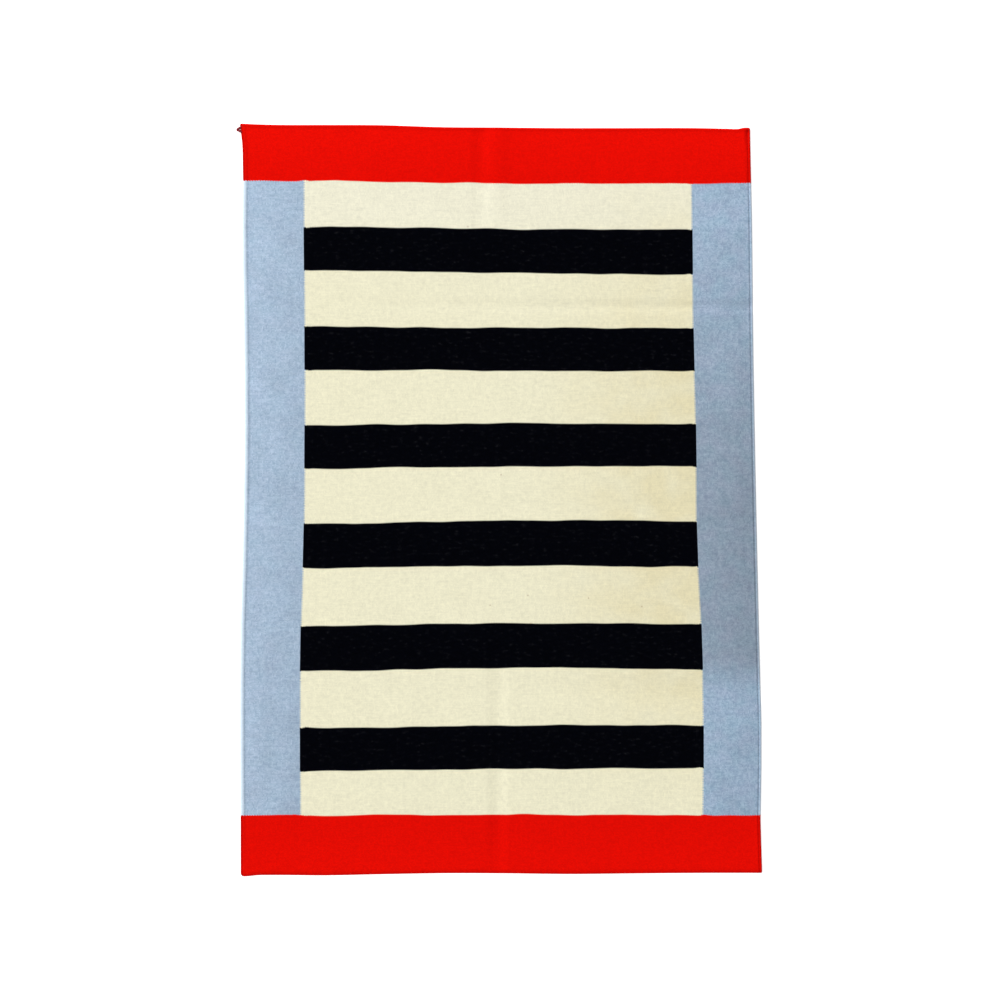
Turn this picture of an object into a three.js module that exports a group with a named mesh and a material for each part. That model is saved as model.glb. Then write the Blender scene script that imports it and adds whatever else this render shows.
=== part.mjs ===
// Flat-woven wool rug, lying flat on a floor.
// Millimetres, +Z up. The warp runs along Y, the weft across along X, and the underside lies on Z = 0.
import * as THREE from "three";

// Nominal cloth, before its uneven outline is laid over it
const RUG_WIDTH = 1230;
const RUG_LENGTH = 1796;
const CLOTH_THICKNESS = 5;

// Rounded rim: its width in from the edge, the share of the thickness that stands upright there,
// and how far the underside draws in below it
const RIM_WIDTH = 3.2;
const RIM_UPRIGHT = 0.4;
const UNDERSIDE_DRAW_IN = 1.5;

// Edge ribs: how much thicker or thinner than the cloth it is at each distance in from the edge
const LEFT_SELVEDGE = [
  { inset: 0, relief: 0.4 },
  { inset: 1, relief: 0.9 },
  { inset: 3, relief: 1.4 },
  { inset: 7, relief: 1.4 },
  { inset: 9.5, relief: 1.0 },
  { inset: 12, relief: 0.2 },
  { inset: 14, relief: 0 },
];
const RIGHT_SELVEDGE = [
  { inset: 0, relief: 0.3 },
  { inset: 1, relief: 0.6 },
  { inset: 3, relief: 0.4 },
  { inset: 4.5, relief: -1.2 },
  { inset: 6, relief: -1.6 },
  { inset: 9, relief: 0 },
  { inset: 11, relief: 0.1 },
  { inset: 15, relief: 0 },
];

// How full the left selvedge is at each place along the rug: it thins out in the end bands
const LEFT_FULLNESS = [
  { along: -791, share: 0 },
  { along: -697, share: 1 },
  { along: -600, share: 1 },
  { along: 660, share: 1 },
  { along: 760, share: 1 },
  { along: 836, share: 0.6 },
];

// Hems at the two ends, in the same way as the edge ribs
const NEAR_HEM = [
  { inset: 0, relief: -2.4 },
  { inset: 1.2, relief: -2.6 },
  { inset: 3.2, relief: -2.0 },
  { inset: 6, relief: -0.9 },
  { inset: 9, relief: -0.2 },
  { inset: 13, relief: 0 },
];
const FAR_HEM = [
  { inset: 0, relief: 0.6 },
  { inset: 1.2, relief: 1.3 },
  { inset: 2.6, relief: 1.7 },
  { inset: 4.5, relief: 1.4 },
  { inset: 6.5, relief: 0.8 },
  { inset: 8.5, relief: 0.2 },
  { inset: 10.5, relief: 0 },
];

// Where the two long edges lie at each place along the rug
const LONG_EDGES = [
  { along: -898, left: -622.8, right: 629.8 },
  { along: -816, left: -622.8, right: 626.5 },
  { along: -576, left: -624.2, right: 628.2 },
  { along: -336, left: -623.2, right: 622.4 },
  { along: -96, left: -617.3, right: 617 },
  { along: 144, left: -613.7, right: 612 },
  { along: 384, left: -614.7, right: 608 },
  { along: 672, left: -618.8, right: 605 },
  { along: 820, left: -617.7, right: 602 },
  { along: 856, left: -619.7, right: 601.3 },
  { along: 880, left: -622.7, right: 600.9 },
  { along: 898, left: -625, right: 600.5 },
];

// Where the two ends lie at each place across the rug
const END_EDGES = [
  { across: -615, near: -904.4, far: 904.2 },
  { across: -600, near: -903.7, far: 903.4 },
  { across: -575, near: -901.3, far: 902.2 },
  { across: -540, near: -900.8, far: 901.2 },
  { across: -415, near: -901.6, far: 900.8 },
  { across: -288, near: -899, far: 900.3 },
  { across: -130, near: -896.4, far: 895.5 },
  { across: 0, near: -896.7, far: 894.6 },
  { across: 170, near: -898.4, far: 893.2 },
  { across: 290, near: -897.2, far: 893.2 },
  { across: 500, near: -895.7, far: 893 },
  { across: 560, near: -895.7, far: 891.7 },
  { across: 588, near: -895.7, far: 891.5 },
  { across: 600, near: -895.8, far: 894 },
  { across: 615, near: -895.8, far: 894.6 },
];

// How far each corner is rounded off
const CORNERS = [
  { side: -1, end: -1, radius: 8 },
  { side: 1, end: -1, radius: 4 },
  { side: -1, end: 1, radius: 5 },
  { side: 1, end: 1, radius: 5 },
];

// Fold lines that storage left in the cloth. Each runs straight along or across the rug and is twice its
// reach wide. The cloth is sunk there in a soft trough, or raised where sunk is negative.
const CREASES = [
  { runs: "along", line: -44, from: 875, sunkFrom: 1.8, to: 600, sunkTo: 0.2, reach: 26 },
  { runs: "along", line: 0, from: 875, sunkFrom: -2.1, to: 600, sunkTo: -0.2, reach: 36 },
  { runs: "along", line: -9, from: -870, sunkFrom: 2.3, to: -400, sunkTo: 1.2, reach: 29 },
  { runs: "across", line: 466, from: 610, sunkFrom: 2.8, to: -400, sunkTo: 0.2, reach: 21 },
  { runs: "across", line: -14, from: 450, sunkFrom: 0.5, to: -300, sunkTo: 0.2, reach: 30 },
  { runs: "across", line: -461, from: 625, sunkFrom: 2.6, to: -300, sunkTo: 0.2, reach: 48 },
];

// Widest space between grid lines across and along the rug
const GRID_ACROSS = 90;
const GRID_ALONG = 120;

const HALF_WIDTH = RUG_WIDTH / 2;
const HALF_LENGTH = RUG_LENGTH / 2;

/** Smooth curve through one column of a table, read against another. Past the table its end values hold. */
function curveThrough(rows, place, value) {
  const places = rows.map((row) => row[place]);
  const curve = new THREE.CubicInterpolant(places, rows.map((row) => row[value]), 1);
  return (at) => curve.evaluate(THREE.MathUtils.clamp(at, places[0], places.at(-1)))[0];
}

const leftRelief = curveThrough(LEFT_SELVEDGE, "inset", "relief");
const leftFullness = curveThrough(LEFT_FULLNESS, "along", "share");
const rightRelief = curveThrough(RIGHT_SELVEDGE, "inset", "relief");
const nearRelief = curveThrough(NEAR_HEM, "inset", "relief");
const farRelief = curveThrough(FAR_HEM, "inset", "relief");
const leftEdge = curveThrough(LONG_EDGES, "along", "left");
const rightEdge = curveThrough(LONG_EDGES, "along", "right");
const nearEnd = curveThrough(END_EDGES, "across", "near");
const farEnd = curveThrough(END_EDGES, "across", "far");

/** Grid lines in one direction: at both edge ribs' insets, five over each crease, and even steps between. */
function gridLines(half, lowRib, highRib, creases, widest) {
  const overCrease = [-1, -0.5, 0, 0.5, 1];
  const wanted = new Set([
    ...lowRib.map(({ inset }) => inset - half),
    ...highRib.map(({ inset }) => half - inset),
    ...creases.flatMap(({ line, reach }) => overCrease.map((share) => line + share * reach)),
  ]);
  const marks = [...wanted].sort((a, b) => a - b);
  return marks.flatMap((mark, index) => {
    const gap = (marks[index + 1] ?? mark) - mark;
    const steps = Math.max(1, Math.ceil(gap / widest));
    return Array.from({ length: steps }, (_, step) => mark + (gap * step) / steps);
  });
}

/** Depth of all creases at a place: each is deepest on its line and eases out to nothing at its reach. */
function creaseDepth(x, y) {
  return CREASES.reduce((depth, { runs, line, from, sunkFrom, to, sunkTo, reach }) => {
    const [aside, ahead] = runs === "along" ? [x - line, y] : [y - line, x];
    const share = THREE.MathUtils.clamp((ahead - from) / (to - from), 0, 1);
    const pastEnd = ahead - THREE.MathUtils.lerp(from, to, share);
    const out = Math.min(Math.hypot(aside, pastEnd) / reach, 1);
    return depth + THREE.MathUtils.lerp(sunkFrom, sunkTo, share) * (1 - out * out) ** 2;
  }, 0);
}

/** Moves a place in a square corner into its rounded corner: squares about the round's centre become arcs. */
function roundCorner(x, y) {
  const corner = CORNERS.find(({ side, end }) => side * x >= 0 && end * y >= 0);
  const centreX = HALF_WIDTH - corner.radius;
  const centreY = HALF_LENGTH - corner.radius;
  const outX = Math.abs(x) - centreX;
  const outY = Math.abs(y) - centreY;
  if (outX <= 0 || outY <= 0) return [x, y];
  const draw = Math.max(outX, outY) / Math.hypot(outX, outY);
  return [corner.side * (centreX + outX * draw), corner.end * (centreY + outY * draw)];
}

/** Lays a place on the nominal cloth into the rug's own uneven outline. */
function layOut(x, y) {
  const [flatX, flatY] = roundCorner(x, y);
  return [
    THREE.MathUtils.mapLinear(flatX, -HALF_WIDTH, HALF_WIDTH, leftEdge(flatY), rightEdge(flatY)),
    THREE.MathUtils.mapLinear(flatY, -HALF_LENGTH, HALF_LENGTH, nearEnd(flatX), farEnd(flatX)),
  ];
}

/** Height of the face: cloth with its edge ribs and creases, falling in a quarter round to an upright rim.
 * Where a selvedge and a hem both stand up, at the corners, only the higher one counts. */
function faceHeight(x, y) {
  const sideInset = HALF_WIDTH - Math.abs(x);
  const endInset = HALF_LENGTH - Math.abs(y);
  const selvedge = x < 0 ? leftRelief(sideInset) * leftFullness(y) : rightRelief(sideInset);
  const hem = y < 0 ? nearRelief(endInset) : farRelief(endInset);
  const intoRim = THREE.MathUtils.clamp(Math.min(sideInset, endInset) / RIM_WIDTH, 0, 1);
  const rim = RIM_UPRIGHT + (1 - RIM_UPRIGHT) * Math.sin((intoRim * Math.PI) / 2);
  const shared = Math.max(Math.min(selvedge, hem), 0);
  return (CLOTH_THICKNESS + selvedge + hem - shared - creaseDepth(x, y)) * rim;
}

/** One closed sheet: a box divided along the grid lines, its top moved to the face, its bottom left flat. */
function rugGeometry() {
  const foldsAlong = CREASES.filter(({ runs }) => runs === "along");
  const foldsAcross = CREASES.filter(({ runs }) => runs === "across");
  const columns = gridLines(HALF_WIDTH, LEFT_SELVEDGE, RIGHT_SELVEDGE, foldsAlong, GRID_ACROSS);
  const rows = gridLines(HALF_LENGTH, NEAR_HEM, FAR_HEM, foldsAcross, GRID_ALONG);
  const acrossSteps = columns.length - 1;
  const alongSteps = rows.length - 1;
  const geometry = new THREE.BoxGeometry(1, 1, 1, acrossSteps, alongSteps, 1);
  const drawX = 1 - UNDERSIDE_DRAW_IN / HALF_WIDTH;
  const drawY = 1 - UNDERSIDE_DRAW_IN / HALF_LENGTH;
  const points = geometry.getAttribute("position");
  for (let i = 0; i < points.count; i += 1) {
    const x = columns[Math.round((points.getX(i) + 0.5) * acrossSteps)];
    const y = rows[Math.round((points.getY(i) + 0.5) * alongSteps)];
    const isFace = points.getZ(i) > 0;
    const [outX, outY] = isFace ? layOut(x, y) : layOut(x * drawX, y * drawY);
    points.setXYZ(i, outX, outY, isFace ? faceHeight(x, y) : 0);
  }
  geometry.computeBoundingBox();
  const middle = geometry.boundingBox.getCenter(new THREE.Vector3());
  geometry.translate(-middle.x, -middle.y, 0);
  geometry.computeVertexNormals();
  return geometry;
}

const wool = new THREE.MeshStandardMaterial({ color: 0xede8c9, roughness: 0.95, metalness: 0 });

const cloth = new THREE.Mesh(rugGeometry(), wool);
cloth.name = "rug";

const rug = new THREE.Group();
rug.name = "wool_rug";
rug.add(cloth);

export default rug;
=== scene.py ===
import bpy
import numpy as np
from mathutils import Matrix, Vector


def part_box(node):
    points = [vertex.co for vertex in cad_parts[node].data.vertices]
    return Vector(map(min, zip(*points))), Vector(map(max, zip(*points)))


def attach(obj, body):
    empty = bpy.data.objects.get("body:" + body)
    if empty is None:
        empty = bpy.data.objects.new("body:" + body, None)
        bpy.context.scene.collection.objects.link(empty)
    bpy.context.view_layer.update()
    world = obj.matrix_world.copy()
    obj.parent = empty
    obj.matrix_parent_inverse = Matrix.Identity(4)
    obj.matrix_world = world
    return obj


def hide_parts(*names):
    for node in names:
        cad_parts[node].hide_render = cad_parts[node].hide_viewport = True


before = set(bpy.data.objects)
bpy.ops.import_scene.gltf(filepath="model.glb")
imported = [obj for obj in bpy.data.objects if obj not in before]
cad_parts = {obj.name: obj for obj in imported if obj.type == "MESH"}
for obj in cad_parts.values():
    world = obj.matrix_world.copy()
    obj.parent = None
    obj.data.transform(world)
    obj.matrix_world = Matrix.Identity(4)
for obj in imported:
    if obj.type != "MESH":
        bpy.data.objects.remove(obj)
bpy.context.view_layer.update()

# Rug: one cloth in a weft-faced plain weave. Wool weft is packed over a hidden warp and makes lengthwise ribs
# of small beads. All its colours are woven in: red ends, blue side borders, cream and black stripes.
# The long edges are selvedges turned round a thick edge warp, and both ends are narrow hems.
RUG_WIDTH = 1.230
RUG_LENGTH = 1.796
THICKNESS = 0.005
RIM_WIDTH = 0.0032
RIM_UPRIGHT = 0.4
UNDERSIDE_DRAW_IN = 0.0015
HALF_WIDTH = RUG_WIDTH / 2
HALF_LENGTH = RUG_LENGTH / 2

# Weave: ribs lie side by side across the rug, and each is a row of beads along it
RIB_PITCH = 0.003
RIB_DEPTH = 0.0004
BEAD_LENGTH = 0.0026
BEAD_HEIGHT = 0.0004
COLUMNS_PER_RIB = 2
RIB_COUNT = round(RUG_WIDTH / RIB_PITCH)
RIBS_START = 0.008
RIBS_FULL = 0.013

# Where four warps lie: the outer edges, and the joins between border and stripes
JOIN_ACROSS = 0.4725
WARP_HOME = np.array([-HALF_WIDTH, -JOIN_ACROSS, JOIN_ACROSS, HALF_WIDTH])
WARP_COURSES = np.array([
    # along, left edge, left join, right join, right edge
    (-0.898, -0.6228, -0.4780, 0.4865, 0.6298),
    (-0.816, -0.6228, -0.4780, 0.4865, 0.6265),
    (-0.576, -0.6242, -0.4790, 0.4880, 0.6282),
    (-0.336, -0.6232, -0.4780, 0.4840, 0.6224),
    (-0.096, -0.6173, -0.4705, 0.4720, 0.6170),
    (0.144, -0.6137, -0.4680, 0.4700, 0.6120),
    (0.384, -0.6147, -0.4680, 0.4640, 0.6080),
    (0.672, -0.6188, -0.4700, 0.4605, 0.6050),
    (0.820, -0.6177, -0.4700, 0.4590, 0.6020),
    (0.856, -0.6197, -0.4700, 0.4590, 0.6013),
    (0.880, -0.6227, -0.4700, 0.4590, 0.6009),
    (0.898, -0.6250, -0.4700, 0.4590, 0.6005),
])

# Where the two ends lie
END_COURSES = np.array([
    # across, near end, far end
    (-0.615, -0.9044, 0.9042),
    (-0.600, -0.9037, 0.9034),
    (-0.575, -0.9013, 0.9022),
    (-0.540, -0.9008, 0.9012),
    (-0.415, -0.9016, 0.9008),
    (-0.288, -0.8990, 0.9003),
    (-0.130, -0.8964, 0.8955),
    (0.000, -0.8967, 0.8946),
    (0.170, -0.8984, 0.8932),
    (0.290, -0.8972, 0.8932),
    (0.500, -0.8957, 0.8930),
    (0.560, -0.8957, 0.8917),
    (0.588, -0.8957, 0.8915),
    (0.600, -0.8958, 0.8940),
    (0.615, -0.8958, 0.8946),
])

# Where the weft changes colour, from the near end to the far one: red, cream and black by turns, and red
BAND_ACROSS = np.array([-0.394, -0.112, 0.114, 0.396])
BAND_LINES = np.array([
    # left, left of the middle, right of the middle, right
    (-0.7570, -0.7560, -0.7555, -0.7565),
    (-0.6500, -0.6460, -0.6445, -0.6440),
    (-0.5470, -0.5435, -0.5410, -0.5415),
    (-0.4110, -0.4050, -0.4035, -0.4055),
    (-0.3025, -0.2965, -0.2955, -0.2985),
    (-0.1635, -0.1595, -0.1590, -0.1600),
    (-0.0570, -0.0505, -0.0485, -0.0505),
    (0.0745, 0.0785, 0.0800, 0.0795),
    (0.1790, 0.1830, 0.1840, 0.1835),
    (0.3115, 0.3115, 0.3090, 0.3095),
    (0.4165, 0.4140, 0.4135, 0.4130),
    (0.5505, 0.5470, 0.5435, 0.5415),
    (0.6560, 0.6525, 0.6500, 0.6495),
    (0.7660, 0.7615, 0.7590, 0.7600),
])
BAND_HOME = BAND_LINES.mean(axis=1)

# Thicker or thinner than the cloth at each distance in from a long edge or an end
LEFT_SELVEDGE = np.array([
    # inset, relief
    (0.0000, 0.0004),
    (0.0010, 0.0009),
    (0.0030, 0.0014),
    (0.0070, 0.0014),
    (0.0095, 0.0010),
    (0.0120, 0.0002),
    (0.0140, 0.0000),
    (0.0180, 0.0000),
])
RIGHT_SELVEDGE = np.array([
    # inset, relief
    (0.0000, 0.0003),
    (0.0010, 0.0006),
    (0.0030, 0.0004),
    (0.0045, -0.0012),
    (0.0060, -0.0016),
    (0.0075, -0.0007),
    (0.0090, 0.0000),
    (0.0110, 0.0001),
    (0.0150, 0.0000),
])

# How full the left selvedge is: it thins out in the red ends
LEFT_FULLNESS = np.array([
    # along, share
    (-0.772, 0.00),
    (-0.757, 1.00),
    (0.760, 1.00),
    (0.836, 0.60),
])
NEAR_HEM = np.array([
    # inset, relief
    (0.0000, -0.0024),
    (0.0012, -0.0026),
    (0.0032, -0.0020),
    (0.0060, -0.0009),
    (0.0090, -0.0002),
    (0.0130, 0.0000),
])
FAR_HEM = np.array([
    # inset, relief
    (0.0000, 0.0006),
    (0.0012, 0.0013),
    (0.0026, 0.0017),
    (0.0045, 0.0014),
    (0.0065, 0.0008),
    (0.0085, 0.0002),
    (0.0105, 0.0000),
    (0.0140, 0.0000),
])

# How far each corner is rounded off
CORNERS = (
    # side, end, radius
    (-1, -1, 0.008),
    (1, -1, 0.004),
    (-1, 1, 0.005),
    (1, 1, 0.005),
)

# Fold lines that storage left: the line each runs on, where it starts and how deep it is there, where it ends
# and how deep it is there, and its reach to either side. A negative depth is a ridge.
CREASES_ALONG = (
    # line, from, depth, to, depth, reach
    (-0.044, 0.875, 0.0018, 0.600, 0.0002, 0.026),
    (0.000, 0.875, -0.0021, 0.600, -0.0002, 0.036),
    (-0.009, -0.870, 0.0023, -0.400, 0.0012, 0.029),
    (0.608, 0.884, 0.0022, 0.850, 0.0005, 0.009),
)
CREASES_ACROSS = (
    # line, from, depth, to, depth, reach
    (0.466, 0.610, 0.0028, -0.400, 0.0002, 0.021),
    (-0.014, 0.450, 0.0005, -0.300, 0.0002, 0.030),
    (-0.461, 0.625, 0.0026, -0.300, 0.0002, 0.048),
)
CREASE_ROWS = (-1.25, -1, -0.7, -0.35, 0, 0.35, 0.7, 1, 1.25)
CORNER_ROWS = (0.836, 0.854, 0.872)


def smooth_through(table, column, at):
    """Smooth curve through one column of a table, read at places in its first column.

    Each piece is a cubic with the table's own slopes at both of its ends. Past it, its end values hold.
    """
    places = table[:, 0]
    values = table[:, column]
    slopes = np.gradient(values, places)
    inside = np.clip(at, places[0], places[-1])
    piece = np.clip(np.searchsorted(places, inside, side="right") - 1, 0, len(places) - 2)
    span = places[piece + 1] - places[piece]
    share = (inside - places[piece]) / span
    rise = share * share * (3 - 2 * share)
    leave = share * (1 - share) ** 2 * span * slopes[piece]
    arrive = share * share * (1 - share) * span * slopes[piece + 1]
    return values[piece] * (1 - rise) + values[piece + 1] * rise + leave - arrive


def station_shares(stations, at):
    """How much each station counts at a place: 1 at the station, falling straight to 0 at its neighbours."""
    return np.stack([np.interp(at, stations, row) for row in np.eye(len(stations))], axis=-1)


def corner_shift(across, along):
    """Shift that rounds the corners off: a square about the centre of a round is drawn in to an arc."""
    shift = np.zeros((2, *across.shape))
    for side, end, radius in CORNERS:
        out_side = np.maximum(side * across - (HALF_WIDTH - radius), 0)
        out_end = np.maximum(end * along - (HALF_LENGTH - radius), 0)
        both = (out_side > 0) & (out_end > 0)
        reach = np.where(both, np.hypot(out_side, out_end), 1)
        draw = np.where(both, np.maximum(out_side, out_end) / reach - 1, 0)
        shift += np.stack([side * out_side * draw, end * out_end * draw])
    return shift


def laid_out(columns, rows):
    """Where a grid on the cloth lies on the floor.

    Across, a place keeps its share between the two nearest warps. Along, it keeps its share between the two
    nearest lines where the weft changes colour, or between one of them and the end.
    """
    courses = np.stack([smooth_through(WARP_COURSES, column, rows) for column in (1, 2, 3, 4)], axis=-1)
    x = courses @ station_shares(WARP_HOME, columns).T
    near, far = (smooth_through(END_COURSES, column, columns) for column in (1, 2))
    tables = [np.stack([BAND_ACROSS, line], axis=-1) for line in BAND_LINES]
    lines = [smooth_through(table, 1, columns) for table in tables]
    line_home = np.array([-HALF_LENGTH, *BAND_HOME, HALF_LENGTH])
    y = station_shares(line_home, rows) @ np.stack([near, *lines, far])
    across, along = np.meshgrid(columns, rows)
    shift_x, shift_y = corner_shift(across, along)
    return x + shift_x, y + shift_y


def crease_depth(aside, ahead, creases):
    """Depth of parallel creases: d from its line, a crease has (1 - (d / reach)^2)^2 of its full depth."""
    depth = np.zeros(aside.shape)
    for line, start, depth_start, end, depth_end, reach in creases:
        share = np.clip((ahead - start) / (end - start), 0, 1)
        past_end = ahead - (start + (end - start) * share)
        out = np.minimum(np.hypot(aside - line, past_end) / reach, 1)
        depth += (depth_start + (depth_end - depth_start) * share) * (1 - out * out) ** 2
    return depth


def rib_groove(across):
    """Depth below the crest of a rib: half a sine wave over each rib, fading out on the smooth selvedges."""
    crest = np.abs(np.sin(np.pi * (across + HALF_WIDTH) / RIB_PITCH))
    fade = np.clip((HALF_WIDTH - np.abs(across) - RIBS_START) / (RIBS_FULL - RIBS_START), 0, 1)
    return RIB_DEPTH * (1 - crest) * fade


def face_height(across, along):
    """Height of the face: cloth with edge ribs, creases and weave, falling in a quarter round to the rim."""
    side_inset = HALF_WIDTH - np.abs(across)
    end_inset = HALF_LENGTH - np.abs(along)
    left = smooth_through(LEFT_SELVEDGE, 1, side_inset) * np.interp(along, *LEFT_FULLNESS.T)
    right = smooth_through(RIGHT_SELVEDGE, 1, side_inset)
    near = smooth_through(NEAR_HEM, 1, end_inset)
    far = smooth_through(FAR_HEM, 1, end_inset)
    selvedge = np.where(across < 0, left, right)
    hem = np.where(along < 0, near, far)
    shared = np.maximum(np.minimum(selvedge, hem), 0)
    creases = crease_depth(across, along, CREASES_ALONG) + crease_depth(along, across, CREASES_ACROSS)
    into_rim = np.clip(np.minimum(side_inset, end_inset) / RIM_WIDTH, 0, 1)
    rim = RIM_UPRIGHT + (1 - RIM_UPRIGHT) * np.sin(into_rim * np.pi / 2)
    return (THICKNESS + selvedge + hem - shared - creases - rib_groove(across)) * rim


# Rows of the grid lie on the hems' profiles, over each cross crease, where the left selvedge thins out,
# by the far right corner, and on each line where the weft changes
near_rows = NEAR_HEM[:, 0] - HALF_LENGTH
far_rows = HALF_LENGTH - FAR_HEM[:, 0]
crease_rows = [
    line + share * reach
    for line, *_, reach in CREASES_ACROSS
    for share in CREASE_ROWS
]
edge_rows = (LEFT_FULLNESS[0, 0], *CORNER_ROWS)
rows = np.unique(np.concatenate([near_rows, far_rows, crease_rows, edge_rows, BAND_HOME]))
columns = np.linspace(-HALF_WIDTH, HALF_WIDTH, RIB_COUNT * COLUMNS_PER_RIB + 1)
across, along = np.meshgrid(columns, rows)

# The face and the underside, moved so that the middle of the outline lies where the solid's does
face_x, face_y = laid_out(columns, rows)
draw_in = 1 - UNDERSIDE_DRAW_IN / np.array([HALF_WIDTH, HALF_LENGTH])
under_x, under_y = laid_out(columns * draw_in[0], rows * draw_in[1])
solid_low, solid_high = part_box("rug")
shift_x = (solid_low.x + solid_high.x - face_x.min() - face_x.max()) / 2
shift_y = (solid_low.y + solid_high.y - face_y.min() - face_y.max()) / 2
face = np.stack([face_x + shift_x, face_y + shift_y, face_height(across, along)], axis=-1)
underside = np.stack([under_x + shift_x, under_y + shift_y, rib_groove(across)], axis=-1)

# Four-sided faces: the face, the underside turned over, and a strip round the rim that joins them
point_count = across.size
index = np.arange(point_count).reshape(across.shape)
cells = np.stack([index[:-1, :-1], index[:-1, 1:], index[1:, 1:], index[1:, :-1]], axis=-1).reshape(-1, 4)
rim_loop = np.concatenate([index[0, :-1], index[:-1, -1], index[-1, :0:-1], index[:0:-1, 0]])
rim_next = np.roll(rim_loop, -1)
rim_cells = np.stack([rim_loop + point_count, rim_next + point_count, rim_next, rim_loop], axis=-1)
quads = np.concatenate([cells, cells[:, ::-1] + point_count, rim_cells])

rug_mesh = bpy.data.meshes.new("rug_cloth")
points = np.concatenate([face.reshape(-1, 3), underside.reshape(-1, 3)])
rug_mesh.from_pydata(points.tolist(), [], quads.tolist())
rug_mesh.shade_smooth()

# Two maps: the place on the cloth in metres, and a flat layout with the face large and the underside narrow
corners = quads.reshape(-1)
cloth_place = np.stack([across.ravel(), along.ravel()], axis=-1)[corners % point_count]
cloth_map = rug_mesh.uv_layers.new(name="cloth")
cloth_map.uv.foreach_set("vector", cloth_place.astype(np.float32).ravel())

FACE_LAYOUT_LEFT = 0.010
FACE_LAYOUT_WIDTH = 0.670
UNDER_LAYOUT_LEFT = 0.705
UNDER_LAYOUT_WIDTH = 0.285
LAYOUT_BOTTOM = 0.010
LAYOUT_HEIGHT = 0.980
RIM_LAYOUT_SPREAD = 1.008
on_rim = np.arange(corners.size) >= 8 * len(cells)
is_under = corners >= point_count
spread = np.where(on_rim & is_under, RIM_LAYOUT_SPREAD, 1)[:, None]
share = cloth_place / (RUG_WIDTH, RUG_LENGTH) * spread + 0.5
in_under = is_under & ~on_rim
layout_left = np.where(in_under, UNDER_LAYOUT_LEFT, FACE_LAYOUT_LEFT)
layout_width = np.where(in_under, UNDER_LAYOUT_WIDTH, FACE_LAYOUT_WIDTH)
layout_u = layout_left + layout_width * share[:, 0]
layout_v = LAYOUT_BOTTOM + LAYOUT_HEIGHT * share[:, 1]
layout = np.stack([layout_u, layout_v], axis=-1)
layout_map = rug_mesh.uv_layers.new(name="OFBake")
layout_map.uv.foreach_set("vector", layout.astype(np.float32).ravel())

rug = bpy.data.objects.new("rug_cloth", rug_mesh)
bpy.context.scene.collection.objects.link(rug)


class Shade:
    """A socket of a material's nodes. Sums with it are written as in Python, and each adds its Math node."""

    def __init__(self, tree, socket=None):
        self.tree = tree
        self.socket = socket

    def node(self, kind, settings, inputs, output=0):
        """Adds a node: its settings first, then each input's value or the socket that feeds it."""
        made = self.tree.nodes.new(kind)
        for name, setting in settings.items():
            setattr(made, name, setting)
        for place, value in inputs.items():
            if isinstance(value, Shade):
                self.tree.links.new(value.socket, made.inputs[place])
            else:
                made.inputs[place].default_value = value
        return Shade(self.tree, made.outputs[output])

    def other(self, output):
        """Another output of the node that this socket is on."""
        return Shade(self.tree, self.socket.node.outputs[output])

    def math(self, operation, *values):
        return self.node("ShaderNodeMath", {"operation": operation}, dict(enumerate(values)))

    def __add__(self, value):
        return self.math("ADD", self, value)

    def __sub__(self, value):
        return self.math("SUBTRACT", self, value)

    def __rsub__(self, value):
        return self.math("SUBTRACT", value, self)

    def __mul__(self, value):
        return self.math("MULTIPLY", self, value)

    def __truediv__(self, value):
        return self.math("DIVIDE", self, value)

    def __mod__(self, value):
        return self.math("FLOORED_MODULO", self, value)

    def __pow__(self, value):
        return self.math("POWER", self, value)

    def __lt__(self, value):
        return self.math("LESS_THAN", self, value)

    def __gt__(self, value):
        return self.math("GREATER_THAN", self, value)

    def __abs__(self):
        return self.math("ABSOLUTE", self)

    __radd__ = __add__
    __rmul__ = __mul__

    def floor(self):
        return self.math("FLOOR", self)

    def larger(self, value):
        return self.math("MAXIMUM", self, value)

    def eased(self, start, end):
        """Share from 0 at start to 1 at end, level at both."""
        settings = {"interpolation_type": "SMOOTHSTEP"}
        return self.node("ShaderNodeMapRange", settings, {"Value": self, "From Min": start, "From Max": end})

    def noise(self, scale, detail=1.0):
        """Cloudy noise about 0 at this place, with about scale clouds to a metre."""
        inputs = {"Vector": self, "Scale": scale, "Detail": detail}
        return self.node("ShaderNodeTexNoise", {"noise_dimensions": "2D"}, inputs) - 0.5

    def blend(self, first, second):
        """Colour from the first to the second by this share, which is held between 0 and 1."""
        settings = {"data_type": "RGBA", "clamp_factor": True}
        return self.node("ShaderNodeMix", settings, {0: self, 6: first, 7: second}, output=2)

    def toned(self, tone):
        """This colour, lighter or darker by a factor."""
        return self.node("ShaderNodeVectorMath", {"operation": "SCALE"}, {0: self, 3: tone})


def place_of(across, along):
    """A vector of a place on the cloth."""
    return across.node("ShaderNodeCombineXYZ", {}, {0: across, 1: along})


CREAM = (0.735, 0.707, 0.523, 1)
CREAM_PALE = (0.745, 0.722, 0.570, 1)
# Cream under the painted shade on the right
CREAM_SHADED = (0.672, 0.618, 0.408, 1)
SPECK_BROWN = (0.30, 0.17, 0.08, 1)
SPECK_SHARE = 0.00004
BLACK = (0.0006, 0.0008, 0.0020, 1)
BLACK_LINT = (0.011, 0.011, 0.013, 1)
TEAL_PALE = (0.392, 0.512, 0.628, 1)
TEAL_DEEP = (0.250, 0.355, 0.470, 1)
LILAC_PALE = (0.416, 0.502, 0.630, 1)
LILAC_DEEP = (0.276, 0.352, 0.478, 1)
BLUE_COOL = (0.200, 0.420, 0.680, 1)
# Grey for the right border's painted shade
BLUE_SHADED_GREY = (0.260, 0.260, 0.260, 1)
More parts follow.
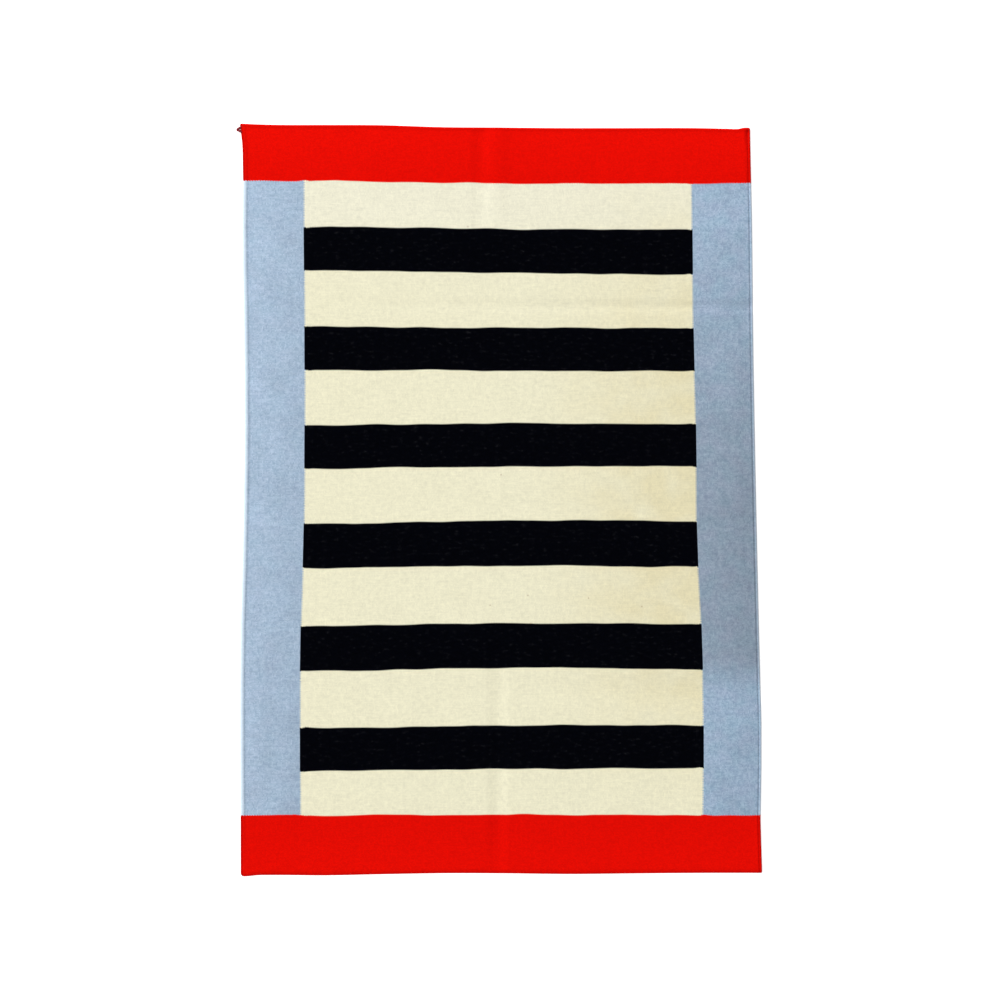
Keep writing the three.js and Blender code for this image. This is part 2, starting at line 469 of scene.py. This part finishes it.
# Pale for the outermost turns: a painted highlight on the left, a paler thread on the right
RIM_PALE_AND_LIT = (0.685, 0.788, 0.880, 1)
RED_BRIGHT = (0.760, 0.0038, 0.0010, 1)
RED_DEEP = (0.640, 0.0030, 0.0010, 1)
WEFT_WANDER = 0.006
JOIN_WANDER = 0.008

wool = bpy.data.materials.new("wool_weave")
wool.use_nodes = True
wool_shader = wool.node_tree.nodes["Principled BSDF"]
cloth = Shade(wool.node_tree).node("ShaderNodeUVMap", {"uv_map": "cloth"}, {})
cloth_across = cloth.node("ShaderNodeSeparateXYZ", {}, {0: cloth})
cloth_along = cloth_across.other(1)
side_inset = HALF_WIDTH - abs(cloth_across)
on_right = cloth_across > 0
on_left = 1 - on_right

# Each bead of the weave: which rib it is on, which bead it is there, how far a place is off its middle.
# The weft wanders a little, more so at the joins, and its beads go with it.
rib_count = (cloth_across + HALF_WIDTH) / RIB_PITCH
rib = rib_count.floor()
stagger = rib % 2 * 0.5
near_join = abs(abs(cloth_across) - JOIN_ACROSS).eased(0.030, 0.0)
wander = cloth.noise(9.0) * WEFT_WANDER + cloth.noise(40.0) * near_join * JOIN_WANDER
bead_count = (cloth_along + wander) / BEAD_LENGTH + stagger
bead = bead_count.floor()
off_rib = abs((rib_count - rib) * 2 - 1)
off_bead = abs((bead_count - bead) * 2 - 1)
bead_across = (rib + 0.5) * RIB_PITCH - HALF_WIDTH
bead_along = (bead + 0.5 - stagger) * BEAD_LENGTH
bead_place = place_of(bead_across, bead_along)
chances = cloth.node(
    "ShaderNodeTexWhiteNoise", {"noise_dimensions": "2D"}, {"Vector": place_of(rib, bead)}, output="Color"
)
chance = chances.node("ShaderNodeSeparateXYZ", {}, {0: chances})
second_chance = chance.other(1)
third_chance = chance.other(2)

# Changes of tone: by bead, along each weft, along each rib, in clouds, and darker in the gaps round the beads
# from dirt and painted shade
bead_tone = chance - 0.5
weft_tone = place_of(bead_across * 25, bead_along * 380).noise(1.0)
rib_tone = place_of(rib * 1.7, bead_along * 90).noise(1.0)
mottle = bead_place.noise(90.0)
clouds = cloth.noise(14.0, detail=2.0)
gaps = (off_rib ** 4).larger(off_bead ** 6)

# Cream: paler in the far stripe, with painted shade towards the right (darker and yellower, most in the
# middle of the length), and with very few brown specks
# Painted shade: a soft patch that darkens and yellows the cream towards the right, strongest in the middle of
# the length
right_middle_shade = cloth_across.eased(0.02, 0.50) * cloth_along.eased(0.95, 0.05) * cloth_along.eased(-0.85, -0.20)
cream = cloth_along.eased(0.50, 0.70).blend(CREAM, CREAM_PALE)
cream = (right_middle_shade * (1 + clouds * 2)).blend(cream, CREAM_SHADED)
cream = cream.toned(1 + bead_tone * 0.08 + weft_tone * 0.14 + rib_tone * 0.06 + mottle * 0.12 + clouds * 0.05)
cream = ((second_chance > 1 - SPECK_SHARE) * 0.6).blend(cream, SPECK_BROWN)

# Black, with faint smudges of lint
lint = place_of(bead_across * 60, bead_along * 150).noise(1.0, detail=2.0).eased(0.04, 0.40)
black = (lint * third_chance).blend(BLACK, BLACK_LINT).toned(1 + bead_tone * 0.6)

# Blue of mixed fibres, between teal and lilac, with painted light and shade. Each border is painted lighter
# towards its left and darker towards its right, and the blue is a little lighter towards the far end. The
# right border is painted darker and greyer, most in its middle. The outermost turns are paler on top: on the
# left this is a painted highlight, on the right a paler thread. They are darker on their outer side, from
# dust and painted shade.
# Painted shade: the right border darker, most in the middle of its length
right_painted_shade = 0.89 - 0.21 * cloth_along.eased(0.80, -0.05) + 0.22 * cloth_along.eased(-0.36, -0.47)
# Painted light and shade across each border: lighter towards the left, darker towards the right
left_painted_light = 0.10 * cloth_across.eased(-0.47, -0.61) - 0.05
right_painted_slope = (cloth_along.eased(0.35, 0.05) * -0.04 - 0.06) * cloth_across.eased(0.48, 0.62) + 0.02
border_light_and_shade = on_right * (right_painted_shade + right_painted_slope) + on_left * (1 + left_painted_light)
heather = 0.5 + (bead_tone * 0.60 + mottle * 0.7 + rib_tone * 0.6) * (1 + on_right * 0.35)
teal = heather.blend(TEAL_DEEP, TEAL_PALE)
lilac = heather.blend(LILAC_DEEP, LILAC_PALE)
blue = (0.5 + cloth.noise(25.0) * (0.8 + on_right * 1.6)).blend(teal, lilac)
# Painted light: the blue also grows a little lighter towards the far end
blue = blue.toned(border_light_and_shade * (1 + weft_tone * 0.24 + clouds * 0.22 + 0.06 * cloth_along))
# The right border's painted shade makes it cooler where it is lighter and greyer where it is darker
blue = (on_right * (right_painted_shade - 0.62) * 0.25).blend(blue, BLUE_COOL)
blue = (on_right * (0.89 - right_painted_shade) * 0.5).blend(blue, BLUE_SHADED_GREY)
# Painted highlight on the left selvedge's outer turns, where the lamp falls on them; a paler thread on the
# right ones
left_rim_light = on_left * side_inset.eased(0.0110, 0.0060)
right_rim = on_right * side_inset.eased(0.0045, 0.0015)
blue = (0.62 * left_rim_light + 0.45 * right_rim).blend(blue, RIM_PALE_AND_LIT)
# Darker on the outer side of the outermost turns: dust and painted shade
blue = blue.toned(1 - 0.50 * side_inset.eased(0.0016, 0.0))

# Red: painted a little darker towards the near end as shade, brighter towards both ends, with painted shade
# on the outermost turns and in the groove by the far right corner
red = (0.5 + bead_tone * 0.9 + weft_tone * 0.8).blend(RED_DEEP, RED_BRIGHT)
# Painted shade on the outermost turns, where the rolled edges turn down
left_turn_shade = 0.46 * cloth_across.eased(-0.6085, -0.6125)
right_turn_shade = 0.20 * cloth_across.eased(0.6065, 0.6105)
# Painted shade in the groove by the fold at the far right corner
far_groove_shade = (cloth_along > 0) * 0.09 * cloth_across.eased(0.598, 0.603) * cloth_across.eased(0.609, 0.606)
# Painted shade: a little darker towards the near end
end_tone = 0.96 + 0.02 * cloth_along + 0.05 * abs(cloth_along).eased(0.76, 0.88)
red = red.toned(end_tone - left_turn_shade - right_turn_shade - far_groove_shade)

# The bands: a bead has one colour, by where its middle lies. At a join, border and cream share one rib,
# and black covers it.
is_black = sum(
    (bead_along > lower) * (bead_along < upper)
    for lower, upper in zip(BAND_HOME[1:-1:2], BAND_HOME[2:-1:2])
)
is_red = (bead_along < BAND_HOME[0]) + (bead_along > BAND_HOME[-1])
turn = (bead % 2 - 0.5) * (1 - is_black) - is_black * 0.3
is_blue = abs(bead_across) + turn * RIB_PITCH > JOIN_ACROSS
wool_colour = is_red.blend(is_blue.blend(is_black.blend(cream, black), blue), red)
# Dirt and painted shade in the gaps round the beads
wool_colour = wool_colour.toned(1 - 0.14 * gaps)

# Relief finer than the ribs: beads, the plies of the yarn in them, and loose fibres
ply = abs((rib_count * 2.3 + bead_count * 1.4) % 1 * 2 - 1)
fibres = cloth.noise(1400.0, detail=2.0)
relief = (1 - off_bead * off_bead) * 0.7 + ply * 0.15 + fibres * 0.4
wool_normal = cloth.node("ShaderNodeBump", {}, {"Height": relief, "Strength": 1.0, "Distance": BEAD_HEIGHT})
wool_roughness = 0.90 + bead_tone * 0.06 + gaps * 0.05

wool_shader.inputs["Specular IOR Level"].default_value = 0.01
for place, value in (("Base Color", wool_colour), ("Roughness", wool_roughness), ("Normal", wool_normal)):
    wool.node_tree.links.new(value.socket, wool_shader.inputs[place])
rug_mesh.materials.append(wool)

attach(rug, "root")
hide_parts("rug")

# Yarn loop: a tight loop of the red two-ply yarn that was left standing out of the selvedge at the far left
# corner, coloured a darker maroon with painted shade. Both of its ends go back into the cloth, so it is held
# by the weave.
YARN_RADIUS = 0.0026
YARN_LOBE = 0.18
YARN_TURNS = 2.5
YARN_STEPS = 48
YARN_SIDES = 20
YARN_ROUTE = np.array([
    # share of the way, x, y, z
    (0.00, -0.6195, 0.8960, 0.0036),
    (0.25, -0.6262, 0.8925, 0.0036),
    (0.50, -0.6307, 0.8888, 0.0034),
    (0.75, -0.6262, 0.8866, 0.0034),
    (1.00, -0.6195, 0.8830, 0.0036),
])


def twisted_yarn(route, radius, lobe, turns):
    """Two-ply yarn along a route: its radius is radius * (1 + lobe * cos(2 * (angle - twist)))."""
    share = np.linspace(0, 1, YARN_STEPS)
    line = np.stack([smooth_through(route, column, share) for column in (1, 2, 3)], axis=-1)
    ahead = np.gradient(line, axis=0)
    ahead /= np.linalg.norm(ahead, axis=1, keepdims=True)
    side = np.cross(ahead, (0, 0, 1))
    side /= np.linalg.norm(side, axis=1, keepdims=True)
    up = np.cross(side, ahead)
    angle = np.linspace(0, 2 * np.pi, YARN_SIDES, endpoint=False)
    out = radius * (1 + lobe * np.cos(2 * (angle[None, :] - 2 * np.pi * turns * share[:, None])))
    ring = np.cos(angle)[None, :, None] * side[:, None, :] + np.sin(angle)[None, :, None] * up[:, None, :]
    return line, line[:, None, :] + out[:, :, None] * ring


yarn_line, yarn_skin = twisted_yarn(YARN_ROUTE, YARN_RADIUS, YARN_LOBE, YARN_TURNS)
yarn_index = np.arange(YARN_STEPS * YARN_SIDES).reshape(YARN_STEPS, YARN_SIDES)
yarn_next = np.roll(yarn_index, -1, axis=1)
yarn_cells = np.stack([yarn_index[:-1], yarn_next[:-1], yarn_next[1:], yarn_index[1:]], axis=-1)
start_cap = np.stack([yarn_next[0], yarn_index[0], np.full(YARN_SIDES, yarn_index.size)], axis=-1)
end_cap = np.stack([yarn_index[-1], yarn_next[-1], np.full(YARN_SIDES, yarn_index.size + 1)], axis=-1)
yarn_faces = [*yarn_cells.reshape(-1, 4).tolist(), *start_cap.tolist(), *end_cap.tolist()]
yarn_points = np.concatenate([yarn_skin.reshape(-1, 3), yarn_line[[0, -1]]]) + (shift_x, shift_y, 0)
yarn_mesh = bpy.data.meshes.new("yarn_loop")
yarn_mesh.from_pydata(yarn_points.tolist(), [], yarn_faces)
yarn_mesh.shade_smooth()
yarn = bpy.data.objects.new("yarn_loop", yarn_mesh)
bpy.context.scene.collection.objects.link(yarn)

# The red yarn with painted shade: a darker maroon than the red ends
YARN_SHADED_DEEP = (0.130, 0.010, 0.016, 1)
YARN_SHADED_PALE = (0.300, 0.032, 0.040, 1)

yarn_wool = bpy.data.materials.new("yarn_wool")
yarn_wool.use_nodes = True
yarn_shader = yarn_wool.node_tree.nodes["Principled BSDF"]
yarn_place = Shade(yarn_wool.node_tree).node("ShaderNodeTexCoord", {}, {}, output="Object")
yarn_fibres = yarn_place.noise(1500.0, detail=2.0)
yarn_colour = (0.5 + yarn_fibres * 1.6).blend(YARN_SHADED_DEEP, YARN_SHADED_PALE)
yarn_bump = {"Height": yarn_fibres, "Strength": 1.0, "Distance": 0.0003}
yarn_normal = yarn_place.node("ShaderNodeBump", {}, yarn_bump)
yarn_roughness = 0.88 + yarn_fibres * 0.2
yarn_shader.inputs["Specular IOR Level"].default_value = 0.05
for place, value in (("Base Color", yarn_colour), ("Roughness", yarn_roughness), ("Normal", yarn_normal)):
    yarn_wool.node_tree.links.new(value.socket, yarn_shader.inputs[place])
yarn_mesh.materials.append(yarn_wool)

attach(yarn, "root")

# Floor: a plain white studio floor, wide enough to reach past every view. It glows a little, as a lit table
# does, so that the thin rug casts hardly any shadow on it.
FLOOR_HALF = 600.0
FLOOR_DROP = 0.0004
FLOOR_COLOUR = (0.85, 0.85, 0.85, 1)
FLOOR_GLOW = 0.60

floor_square = np.array([(-1, -1, 0), (1, -1, 0), (1, 1, 0), (-1, 1, 0)])
floor_corners = floor_square * FLOOR_HALF - (0, 0, FLOOR_DROP)
floor_mesh = bpy.data.meshes.new("floor")
floor_mesh.from_pydata(floor_corners.tolist(), [], [(0, 1, 2, 3)])
floor = bpy.data.objects.new("floor", floor_mesh)
bpy.context.scene.collection.objects.link(floor)
paint = bpy.data.materials.new("floor_paint")
paint.use_nodes = True
paint_shader = paint.node_tree.nodes["Principled BSDF"]
paint_shader.inputs["Base Color"].default_value = FLOOR_COLOUR
paint_shader.inputs["Roughness"].default_value = 0.9
paint_shader.inputs["Specular IOR Level"].default_value = 0.0
paint_shader.inputs["Emission Color"].default_value = FLOOR_COLOUR
paint_shader.inputs["Emission Strength"].default_value = FLOOR_GLOW
floor_mesh.materials.append(paint)

# Light: an even pale room, and one broad soft lamp at the far left that brings out weave and creases.
ROOM_LEVEL = 0.60
LAMP_POWER = 21500.0
LAMP_WIDTH = 20.0
LAMP_DISTANCE = 40.0
LAMP_TOWARDS = Vector((0.70, -0.48, -0.53)).normalized()

room = bpy.data.worlds.new("studio")
room.use_nodes = True
room.node_tree.nodes["Background"].inputs["Color"].default_value = (1, 1, 1, 1)
room.node_tree.nodes["Background"].inputs["Strength"].default_value = ROOM_LEVEL
bpy.context.scene.world = room
lamp_light = bpy.data.lights.new("studio_lamp", "AREA")
lamp_light.energy = LAMP_POWER
lamp_light.size = LAMP_WIDTH
lamp = bpy.data.objects.new("studio_lamp", lamp_light)
lamp.location = LAMP_TOWARDS * -LAMP_DISTANCE
lamp.rotation_euler = LAMP_TOWARDS.to_track_quat("-Z", "Y").to_euler()
lamp.visible_camera = False
bpy.context.scene.collection.objects.link(lamp)

# Camera: straight above the rug, so that the picture is as wide as the photograph's 2.4 m.
PICTURE_WIDTH = 2.4
LENS = 70.0
SENSOR = 36.0

camera_data = bpy.data.cameras.new("camera")
camera_data.lens = LENS
camera_data.sensor_width = SENSOR
camera_data.clip_end = 2000.0
camera = bpy.data.objects.new("camera", camera_data)
camera.location = (shift_x, shift_y, THICKNESS + PICTURE_WIDTH * LENS / SENSOR)
bpy.context.scene.collection.objects.link(camera)
bpy.context.scene.camera = camera
bpy.context.scene.view_settings.view_transform = "Standard"
